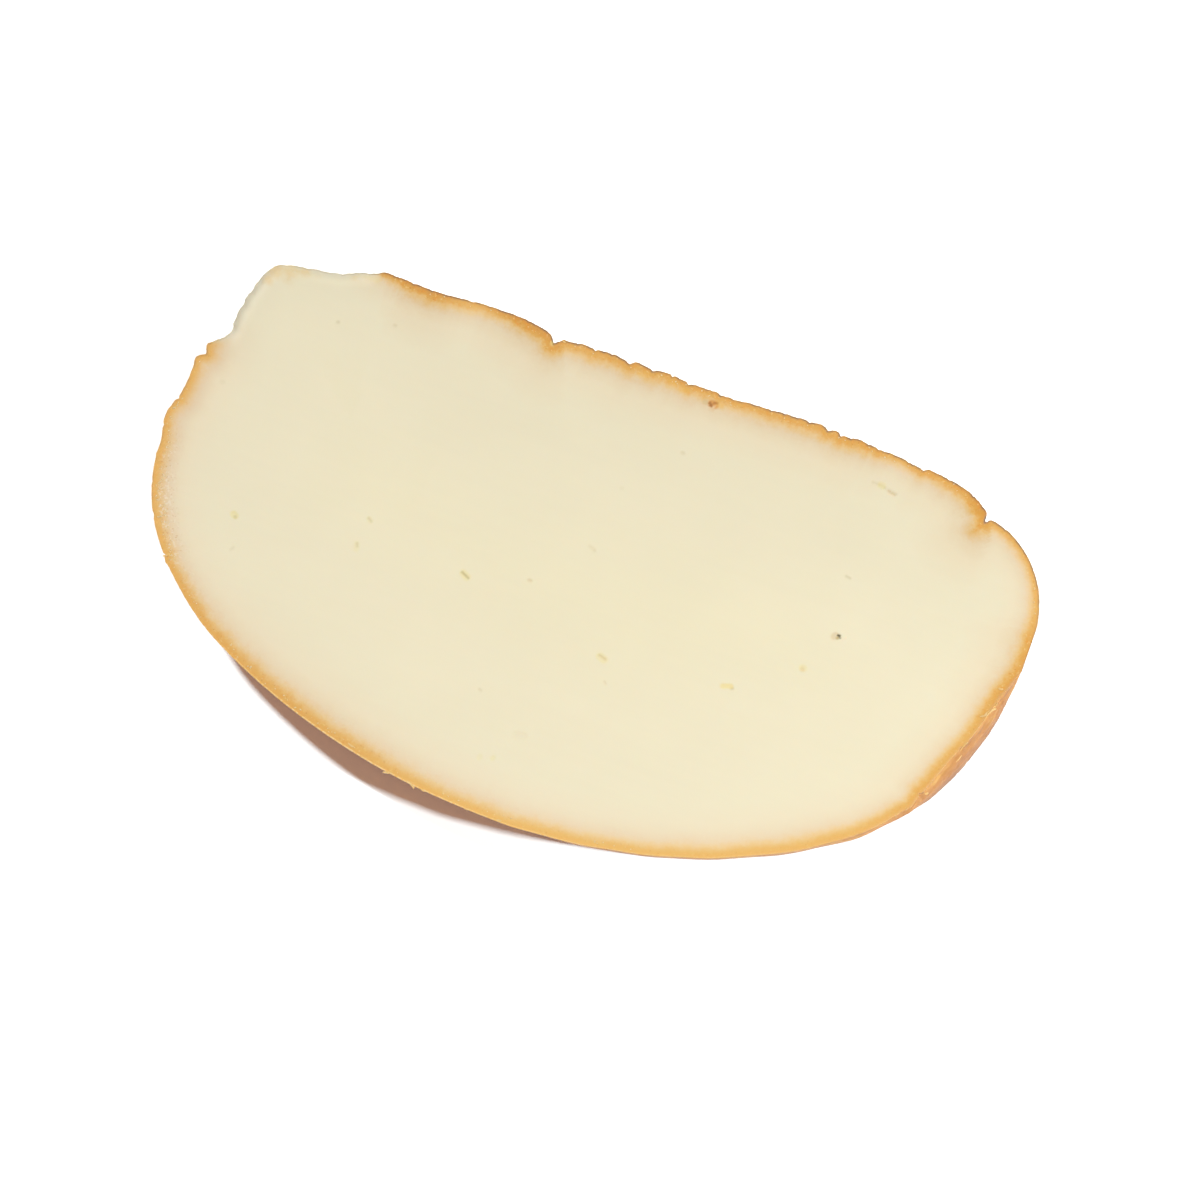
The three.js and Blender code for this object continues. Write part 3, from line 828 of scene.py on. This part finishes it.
def colourRamp(tree, factor, stops, reach):
    made = addNode(tree, "ShaderNodeValToRGB", {"Fac": factor})
    points = made.color_ramp.elements
    while len(points) < len(stops):
        points.new(0.5)
    for point, (depth, colour) in zip(points, stops):
        point.position = depth / reach
        point.color = paint(colour)
    return made.outputs["Color"]


# The colour at a depth: between the pale and the brown row of stops by the tone
def rindColour(tree, tone, depth, form):
    factor = calculate(tree, "DIVIDE", depth, form["reach"])
    rows = [colourRamp(tree, factor, form[name], form["reach"]) for name in ("paleStops", "brownStops")]
    return mixColours(tree, tone, *rows)


def noiseNode(tree, place, scale, detail=2, roughness=0.5):
    return addNode(tree, "ShaderNodeTexNoise", {
        "Vector": place, "Scale": scale, "Detail": detail, "Roughness": roughness,
    }).outputs["Fac"]


# Object places in millimetres, stretched for streaks
def placeNode(tree, stretch=(1, 1, 1), turn=0, shift=(0, 0, 0)):
    coordinates = addNode(tree, "ShaderNodeTexCoord").outputs["Object"]
    return addNode(tree, "ShaderNodeMapping", {
        "Vector": coordinates, "Scale": [share / mm for share in stretch], "Rotation": (0, 0, turn),
        "Location": shift,
    }).outputs["Vector"]


# How full the light is, and for each softbox its place, size and power
light = {
    "level": 1.27,
    "sky": (0.215, 0.155, 0.125),
    "sideColour": (0.904, 0.967, 1.0),
    "boxes": {"right": ((511, 20, 477), 48, 4.11), "left": ((-1237, 686, 1685), 140, 36.2)},
    "floorColour": (0.63, 0.91, 1.0),
    "floorShare": 0.49,
    "floorGlow": (0.115, 0.062, 0.048),
}

face = {
    "reach": 36,
    "paleStops": [
        (0, (237, 186, 104)), (0.3, (238, 187, 103)), (0.7, (238, 189, 106)), (1, (239, 193, 115)),
        (1.25, (240, 198, 127)), (1.5, (241, 203, 140)), (1.8, (242, 209, 154)), (2.3, (241, 215, 173)),
        (2.9, (241, 220, 184)), (4, (242, 226, 192)), (5.2, (243, 229, 196)), (8, (242, 231, 198)),
        (20, (242, 231, 198)), (34, (241, 230, 195)),
    ],
    "brownStops": [
        (0, (210, 146, 64)), (0.3, (213, 150, 64)), (0.8, (218, 156, 62)), (1.05, (220, 162, 70)),
        (1.3, (224, 171, 86)), (1.6, (227, 184, 112)), (2, (229, 193, 136)), (2.6, (232, 205, 162)),
        (3.3, (235, 214, 176)), (5, (240, 223, 188)), (10, (242, 231, 198)),
        (20, (242, 231, 198)), (34, (241, 230, 195)),
    ],
    # Depths in from the edge or down the wall, between which things fade in, and then out again
    "onset": (0.1, 1),
    "rim": (-0.1, 0.25),
    "tornSide": (0.3, 1.6),
    "band": (0.1, 0.35, 0.9, 1.7),
    "dull": (0.5, 1.5, 1.6, 4.2),
    "granules": (0.7, 1.3, 2.4, 4.4),
    "lipHighlightEnd": (0.24, 0.12),
    "roughEnd": (4, 0.5),
    # Speckle: the shift, scale, detail and roughness of its noise, the range that shows, and its most
    "specks": {
        "pale": ((7, 3, 1), 2.1, 3, 0.7, 0.57, 0.69, 1),
        "dark": ((2, 9, 4), 2.4, 3, 0.7, 0.58, 0.72, 1),
        "mottle": ((5, 1, 8), 1.3, 4, 0.7, 0.48, 0.66, 0.7),
        "granulePale": ((3, 8, 2), 2.7, 2, 0.5, 0.56, 0.64, 0.66),
        "granuleDark": ((9, 4, 6), 2.9, 2, 0.5, 0.61, 0.68, 0.5),
        # The speckle that breaks up the painted shade along the rim's edge
        "raggedRimShade": ((6, 2, 9), 0.9, 3, 0.5, 0.36, 0.6, 0.6),
    },
    # A factor and what is added to it
    "wander": (0.7, 0.6),
    "speckShare": (0.55, 0.15),
    "roughness": (0.14, 0.45),
    "cloud": (0.035, 0.9775),
    "cutStreak": (0.02, -0.005),
    "cutStretch": (0.05, 0.9, 0.4),
    "cutAngle": -20,
    "dullColour": (222, 196, 172),
    "dullShare": 0.26,
    # Painted shade: how much darker the face gets towards the crown and the left side
    "paintedShadeStrength": 0.06,
    # Painted shade: the least share of the ragged dark line along the rim's edge, and its colour
    "raggedRimShadeLeast": 0.3,
    "rimShadeColour": (118, 104, 98),
    # Painted highlight: the pale line along the rim's edge, and where it breaks
    "lipHighlightColour": (250, 219, 160),
    "lipHighlightBroken": (0.36, 0.6),
    "speckPale": (246, 210, 136),
    "speckDark": (190, 124, 52),
    "mottle": (230, 152, 52),
    "granulePale": (246, 230, 202),
    "granuleDark": (208, 160, 110),
    # Colours of the tints; dark is painted shade and pale is a painted highlight
    "tints": {"yellow": (240, 224, 144), "olive": (188, 170, 116), "gold": (244, 220, 138),
              "tan": (216, 184, 132), "dark": (72, 62, 28), "hole": (220, 150, 66),
              "bark": (138, 76, 26), "pale": (252, 228, 184), "amber": (238, 186, 84)},
    "tornColour": (222, 212, 184),
    "tornFrom": (0.5, 0.9),
    "tornShade": 0.1,
    "traceColour": (230, 200, 142),
}

wall = {
    "reach": 9,
    "paleStops": [(0, (230, 172, 88)), (0.9, (224, 158, 82)), (2.2, (217, 150, 84)),
                  (5, (206, 142, 92)), (9, (180, 138, 114))],
    "brownStops": [(0, (200, 136, 60)), (0.6, (207, 140, 62)), (3, (190, 124, 58)),
                   (6, (174, 112, 60)), (9, (154, 106, 70))],
    "stretch": (0.22, 0.22, 0.85),
    # The range of the noise over which each comes in, and its most
    "lightRange": (0.52, 0.64, 0.75),
    "darkRange": (0.48, 0.37, 0.6),
    "patchRange": (0.5, 0.68, 0.35),
    "tornPatch": (0.4, 0.66),
    "tornStreak": (0.5, 0.66, 0.5),
    "streakLight": (236, 184, 100),
    "streakDark": (172, 118, 78),
    "tornLight": (228, 212, 176),
    "tornDark": (222, 192, 144),
}


# Noise of three grain sizes in one, shared by the slice and its loose bits
def grainGroup():
    group = bpy.data.node_groups.new("curdGrain", "ShaderNodeTree")
    for way, names in (("INPUT", ("Fine", "Middle", "Broad")), ("OUTPUT", ("Value", "Grain"))):
        for name in names:
            group.interface.new_socket(name=name, in_out=way, socket_type="NodeSocketFloat")
    given = addNode(group, "NodeGroupInput")
    place = placeNode(group)
    grain = noiseNode(group, place, 3.0, detail=3)
    total = 0.0
    for name, field in (("Fine", grain), ("Middle", noiseNode(group, place, 0.95)),
                        ("Broad", noiseNode(group, place, 0.14))):
        centred = calculate(group, "SUBTRACT", field, 0.5)
        total = scaled(group, centred, given.outputs[name], total)
    addNode(group, "NodeGroupOutput", {"Value": total, "Grain": grain})
    return group


def newMaterial(name):
    material = bpy.data.materials.new(name)
    material.use_nodes = True
    material.node_tree.nodes.clear()
    return material, material.node_tree


def finishMaterial(tree, colour, roughness, bump, gloss=0.35):
    shader = addNode(tree, "ShaderNodeBsdfPrincipled", {
        "Base Color": colour, "Roughness": roughness, "Normal": bump,
        "Subsurface Weight": 0.15, "Subsurface Radius": (1.0, 0.55, 0.25), "Subsurface Scale": 0.9 * mm,
        "Specular IOR Level": gloss,
    })
    addNode(tree, "ShaderNodeOutputMaterial", {"Surface": shader.outputs[0]})


def bumpNode(tree, height, distance, strength):
    return addNode(tree, "ShaderNodeBump", {
        "Height": height, "Distance": distance * mm, "Strength": strength}).outputs["Normal"]


def speckle(tree, name):
    shift, scale, detail, roughness, *shown = face["specks"][name]
    field = noiseNode(tree, placeNode(tree, shift=shift), scale, detail, roughness)
    return rampBetween(tree, field, *shown)


def cheeseMaterial(group):
    material, tree = newMaterial("smokedCheese")
    place = placeNode(tree)
    rawDepth = readValue(tree, "rindDepth")
    tone = readValue(tree, "rindTone")
    down = readValue(tree, "wallDown")
    granular = readValue(tree, "granular")
    torn = readValue(tree, "torn")
    wander, grain = addNode(tree, "ShaderNodeGroup", {"Fine": 0.6, "Middle": 1.1, "Broad": 1.2},
                            node_tree=group).outputs
    rough = scaled(tree, tone, *face["wander"])
    share = product(tree, wander, rough, rampBetween(tree, rawDepth, *face["onset"]))
    depth = calculate(tree, "MAXIMUM", calculate(tree, "ADD", rawDepth, share), 0)
    band = rindColour(tree, tone, depth, face)

    inBand = stretchOf(tree, depth, *face["band"])
    dull = stretchOf(tree, rawDepth, *face["dull"])
    dull = product(tree, dull, readValue(tree, "dull"), face["dullShare"])
    band = coat(tree, dull, band, face["dullColour"])
    some = scaled(tree, tone, *face["speckShare"])
    some = scaled(tree, granular, 0.4, some)
    pale = product(tree, speckle(tree, "pale"), inBand, some)
    dark = product(tree, speckle(tree, "dark"), inBand, some)
    band = coat(tree, product(tree, speckle(tree, "mottle"), inBand, tone), band, face["mottle"])
    band = coat(tree, pale, band, face["speckPale"])
    band = coat(tree, dark, band, face["speckDark"])

    zone = product(tree, stretchOf(tree, rawDepth, *face["granules"]), granular, granular)
    for name in ("granulePale", "granuleDark"):
        band = coat(tree, product(tree, speckle(tree, name), zone), band, face[name])

    # Painted highlight: a pale line along the rim's edge, broken here and there
    broken = rampBetween(tree, grain, *face["lipHighlightBroken"])
    lipAndHighlight = product(tree, readValue(tree, "lipAndHighlight"), rampBetween(tree, rawDepth, *face["lipHighlightEnd"]), broken)
    band = coat(tree, lipAndHighlight, band, face["lipHighlightColour"])
    # Painted shade: a ragged dark line along the rim's edge, left out where pale specks are
    raggedRimShade = calculate(tree, "ADD", speckle(tree, "raggedRimShade"), face["raggedRimShadeLeast"])
    raggedRimShade = product(tree, raggedRimShade, readValue(tree, "rimShade"))
    band = coat(tree, product(tree, raggedRimShade, rampBetween(tree, pale, 0.3, 0.05)), band, face["rimShadeColour"])
    for name, colour in face["tints"].items():
        band = coat(tree, readValue(tree, name), band, colour)

    cloud = noiseNode(tree, place, 0.09, detail=3)
    streak = placeNode(tree, face["cutStretch"], math.radians(face["cutAngle"]))
    streak = noiseNode(tree, streak, 1.0, detail=3)
    cloud = scaled(tree, cloud, *face["cloud"])
    cloud = calculate(tree, "ADD", cloud, scaled(tree, streak, *face["cutStreak"]))
    # Painted shade: the face darker near the torn corner and towards the crown and the left side
    shade = product(tree, torn, face["tornShade"])
    shade = scaled(tree, readValue(tree, "paintedShade"), face["paintedShadeStrength"], shade)
    cloud = calculate(tree, "SUBTRACT", cloud, shade)
    tint = addNode(tree, "ShaderNodeCombineColor", {0: cloud, 1: cloud, 2: cloud}).outputs[0]
    band = mixColours(tree, 1.0, band, tint, "MULTIPLY")

    rind = rindColour(tree, tone, down, wall)
    streaks = noiseNode(tree, placeNode(tree, wall["stretch"]), 1.0, detail=5, roughness=0.68)
    patches = noiseNode(tree, place, 0.4, detail=4)
    rind = coat(tree, rampBetween(tree, streaks, *wall["lightRange"]), rind, wall["streakLight"])
    rind = coat(tree, rampBetween(tree, streaks, *wall["darkRange"]), rind, wall["streakDark"])
    rind = coat(tree, rampBetween(tree, patches, *wall["patchRange"]), rind, face["speckDark"])
    onRind = rampBetween(tree, scaled(tree, wander, 0.3, down), *face["rim"])
    onRind = product(tree, onRind, rampBetween(tree, down, 0.0, 0.03))
    colour = mixColours(tree, onRind, band, rind)

    bare = rampBetween(tree, torn, *face["tornFrom"])
    colour = coat(tree, bare, colour, face["tornColour"])
    side = paint(wall["tornLight"])
    for field, name in ((patches, "tornPatch"), (streaks, "tornStreak")):
        side = coat(tree, rampBetween(tree, field, *wall[name]), side, wall["tornDark"])
    tornSide = rampBetween(tree, readValue(tree, "tornDown"), *face["tornSide"])
    colour = mixColours(tree, tornSide, colour, side)
    trace = readValue(tree, "trace")
    ragged = scaled(tree, wander, 0.35, trace)
    ragged = product(tree, rampBetween(tree, ragged, 0.0, 0.8), rampBetween(tree, trace, 0.02, 0.3))
    colour = coat(tree, ragged, colour, face["traceColour"])
    # Painted shade: the same ragged dark line along the edge of the torn corner
    colour = coat(tree, product(tree, raggedRimShade, bare), colour, face["rimShadeColour"])

    roughness = scaled(tree, grain, *face["roughness"])
    nearRind = rampBetween(tree, rawDepth, *face["roughEnd"])
    height = product(tree, grain, scaled(tree, nearRind, 0.8, 0.2))
    gloss = calculate(tree, "SUBTRACT", 0.35, rampBetween(tree, down, 0.02, 0.3, 0.17))
    finishMaterial(tree, colour, roughness, bumpNode(tree, height, 0.03, 0.45), gloss)
    return material


def looseMaterial(group, name, first, second):
    material, tree = newMaterial(name)
    grain = addNode(tree, "ShaderNodeGroup", {"Fine": 2.4, "Middle": 1.2, "Broad": 0.0}, node_tree=group)
    share = calculate(tree, "ADD", grain.outputs["Value"], 0.5, clamp=True)
    colour = coat(tree, share, paint(first), second)
    bump = bumpNode(tree, grain.outputs["Grain"], 0.02, 0.5)
    finishMaterial(tree, colour, 0.45, bump)
    return material


floorForm = {"side": 4, "below": 0.02, "grain": 0.02, "dark": (0.97, 0.97, 0.97, 1), "pale": (1, 1, 1, 1)}


def floorMaterial():
    material, tree = newMaterial("paleFloor")
    grain = noiseNode(tree, placeNode(tree), floorForm["grain"])
    colour = mixColours(tree, grain, floorForm["dark"], floorForm["pale"])
    shader = addNode(tree, "ShaderNodeBsdfPrincipled", {
        "Base Color": colour, "Roughness": 0.9, "Specular IOR Level": 0.0,
        "Emission Color": (*light["floorGlow"], 1), "Emission Strength": 1.0,
    })
    addNode(tree, "ShaderNodeOutputMaterial", {"Surface": shader.outputs[0]})
    return material


cheese, cheeseRim = makeSlice()
shredPiece = makeShreds()
grainPiece = makeCrumbs(cheeseRim)
curdGrain = grainGroup()
cheese.data.materials.append(cheeseMaterial(curdGrain))
shredPiece.data.materials.append(looseMaterial(curdGrain, "rindShred", (248, 212, 148), (238, 188, 112)))
grainPiece.data.materials.append(looseMaterial(curdGrain, "curdGrains", (250, 226, 176), (242, 204, 138)))
for piece in (cheese, shredPiece, grainPiece):
    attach(piece, "root")
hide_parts("cheese_slice")
print("slice dressed")

view = {"aim": (3.873, -0.209, 9), "turn": 20, "rise": 80, "away": 446.7, "lens": 100}


# A square light aimed at the slice, which lights everything or only one collection
def addSoftbox(name, place, size, power, colour, only=None):
    bpy.ops.object.light_add(type="AREA", location=[value * mm for value in place])
    lamp = bpy.context.object
    lamp.name = name
    lamp.data.shape = "SQUARE"
    lamp.data.size = size * mm
    lamp.data.energy = power
    lamp.data.color = colour
    lamp.rotation_euler = (-Vector(place)).to_track_quat("-Z", "Y").to_euler()
    if only:
        lamp.light_linking.receiver_collection = only


def dressSet():
    bpy.ops.mesh.primitive_plane_add(size=floorForm["side"], location=(0, 0, -floorForm["below"] * mm))
    floor = bpy.context.object
    floor.name = "floor"
    floor.data.materials.append(floorMaterial())
    world = bpy.data.worlds.new("studio")
    world.use_nodes = True
    world.node_tree.nodes["Background"].inputs["Color"].default_value = (*light["sky"], 1)
    bpy.context.scene.world = world
    backdrop = bpy.data.collections.new("backdrop")
    backdrop.objects.link(floor)
    for side, (place, size, power) in light["boxes"].items():
        addSoftbox(side + "Softbox", place, size, power, light["sideColour"])
        addSoftbox(side + "FloorLight", place, size, power * light["floorShare"], light["floorColour"],
                   backdrop)
    bpy.context.scene.view_settings.view_transform = "Standard"


def addCamera():
    turn, rise = math.radians(view["turn"]), math.radians(view["rise"])
    back = Vector((math.sin(turn) * math.cos(rise), -math.cos(turn) * math.cos(rise), math.sin(rise)))
    bpy.ops.object.camera_add(location=(Vector(view["aim"]) + back * view["away"]) * mm)
    camera = bpy.context.object
    camera.rotation_euler = back.to_track_quat("Z", "Y").to_euler()
    camera.data.lens = view["lens"]
    camera.data.clip_start = 0.01
    bpy.context.scene.camera = camera


dressSet()
addCamera()
print("set dressed")
